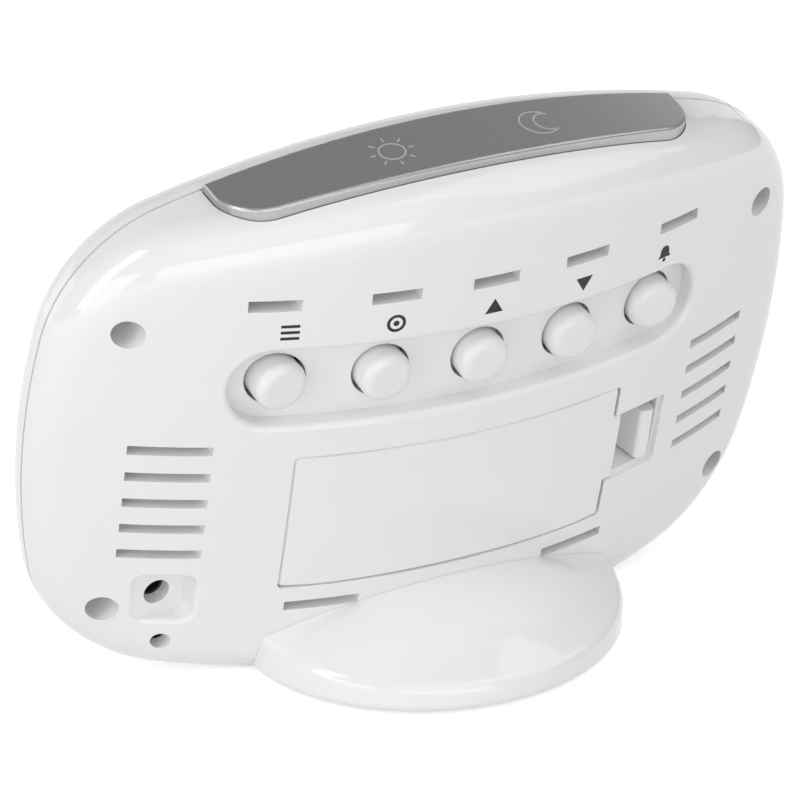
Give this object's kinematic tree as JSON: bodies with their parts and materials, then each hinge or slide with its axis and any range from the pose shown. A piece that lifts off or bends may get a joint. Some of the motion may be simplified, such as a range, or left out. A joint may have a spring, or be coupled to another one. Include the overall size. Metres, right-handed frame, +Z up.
{
  "type": "digital alarm clock",
  "caption": "Small white desk alarm clock with a convex vented back, a row of setting buttons, a silver snooze bar, a battery cover and a half-round rear foot.",
  "frame": {"origin": "on the table under the middle of the clock's bounding box", "axes": "+X to the right as seen from the display side, +Y towards the back and the foot, +Z up"},
  "size_m": [0.1372, 0.0522, 0.0923],
  "materials": {
    "case_plastic": "moulded, glossy white",
    "button_plastic": "moulded, glossy white",
    "bar_paint": "silver metallic paint over moulded plastic",
    "lens_acrylic": "clear, polished",
    "lens_tape": "black adhesive tape",
    "display_glass": "clear display glass",
    "polarizer_film": "grey-green film",
    "guide_acrylic": "frosted acrylic",
    "led_resin": "milky resin",
    "holder_plastic": "moulded white",
    "pad_rubber": "matte black",
    "zebra_rubber": "layered silicone",
    "board_laminate": "solder mask",
    "chip_resin": "poured black resin",
    "screw_steel": "zinc plated",
    "can_metal": "drawn can",
    "capacitor_can": "sleeved can",
    "part_black": "moulded black",
    "plunger_plastic": "moulded dark grey",
    "disc_brass": "stamped",
    "contact_nickel": "nickel plated spring steel",
    "cell_wrap": "plain printed wrap",
    "lead_wire": "insulated wire"
  },
  "bodies": {
    "case": {"backlight_leds": "led_resin", "battery_leads": "lead_wire", "board_link": "part_black", "bridge_contact": "contact_nickel", "button_board": "board_laminate", "button_board_screws": "screw_steel", "buzzer_case": "part_black", "buzzer_disc": "disc_brass", "controller_blob": "chip_resin", "dc_jack": "part_black", "dc_pin": "contact_nickel", "display_lens": "lens_acrylic", "foot": "case_plastic", "foot_pads": "pad_rubber", "foot_screws": "screw_steel", "front_bezel": "case_plastic", "front_pads": "pad_rubber", "housing_screws": "screw_steel", "key_switches": "part_black", "lcd_front_glass": "display_glass", "lcd_holder": "holder_plastic", "lcd_rear_glass": "display_glass", "lens_tape": "lens_tape", "light_guide": "guide_acrylic", "lower_cell": "cell_wrap", "main_board": "board_laminate", "main_board_screws": "screw_steel", "negative_contact": "contact_nickel", "positive_contact": "contact_nickel", "quartz_crystal": "can_metal", "rear_polarizer": "polarizer_film", "rear_shell": "case_plastic", "reset_switch": "part_black", "snooze_switch": "part_black", "supply_capacitors": "capacitor_can", "upper_cell": "cell_wrap", "zebra_strip": "zebra_rubber"},
    "mode_key": {"mode_button": "button_plastic", "mode_plunger": "plunger_plastic"},
    "set_key": {"set_button": "button_plastic", "set_plunger": "plunger_plastic"},
    "up_key": {"up_button": "button_plastic", "up_plunger": "plunger_plastic"},
    "down_key": {"down_button": "button_plastic", "down_plunger": "plunger_plastic"},
    "alarm_key": {"alarm_button": "button_plastic", "alarm_plunger": "plunger_plastic"},
    "snooze": {"snooze_bar": "bar_paint", "bar_clips": "screw_steel", "snooze_plunger": "plunger_plastic"},
    "reset": {"reset_plunger": "plunger_plastic"},
    "cover": {"battery_cover": "case_plastic"}
  },
  "joints": [
    {"name": "mode_press", "type": "slide", "parent": "case", "child": "mode_key", "axis": [0, -0.9751, 0.2215], "range_m": [0, 0.0006], "stiffness_N_per_m": 1500},
    {"name": "set_press", "type": "slide", "parent": "case", "child": "set_key", "axis": [0, -0.9751, 0.2215], "range_m": [0, 0.0006], "stiffness_N_per_m": 1500},
    {"name": "up_press", "type": "slide", "parent": "case", "child": "up_key", "axis": [0, -0.9751, 0.2215], "range_m": [0, 0.0006], "stiffness_N_per_m": 1500},
    {"name": "down_press", "type": "slide", "parent": "case", "child": "down_key", "axis": [0, -0.9751, 0.2215], "range_m": [0, 0.0006], "stiffness_N_per_m": 1500},
    {"name": "alarm_press", "type": "slide", "parent": "case", "child": "alarm_key", "axis": [0, -0.9751, 0.2215], "range_m": [0, 0.0006], "stiffness_N_per_m": 1500},
    {"name": "snooze_press", "type": "slide", "parent": "case", "child": "snooze", "axis": [0, -0.2215, -0.9751], "range_m": [0, 0.001], "stiffness_N_per_m": 1500},
    {"name": "reset_press", "type": "slide", "parent": "case", "child": "reset", "axis": [0, -0.9751, 0.2215], "range_m": [0, 0.0003], "stiffness_N_per_m": 1500},
    {"name": "cover_hinge", "type": "hinge", "parent": "case", "child": "cover", "pos_m": [0.0308, 0.0053, 0.03013], "axis": [0, -0.2215, -0.9751], "range_deg": [0, 65]}
  ]
}
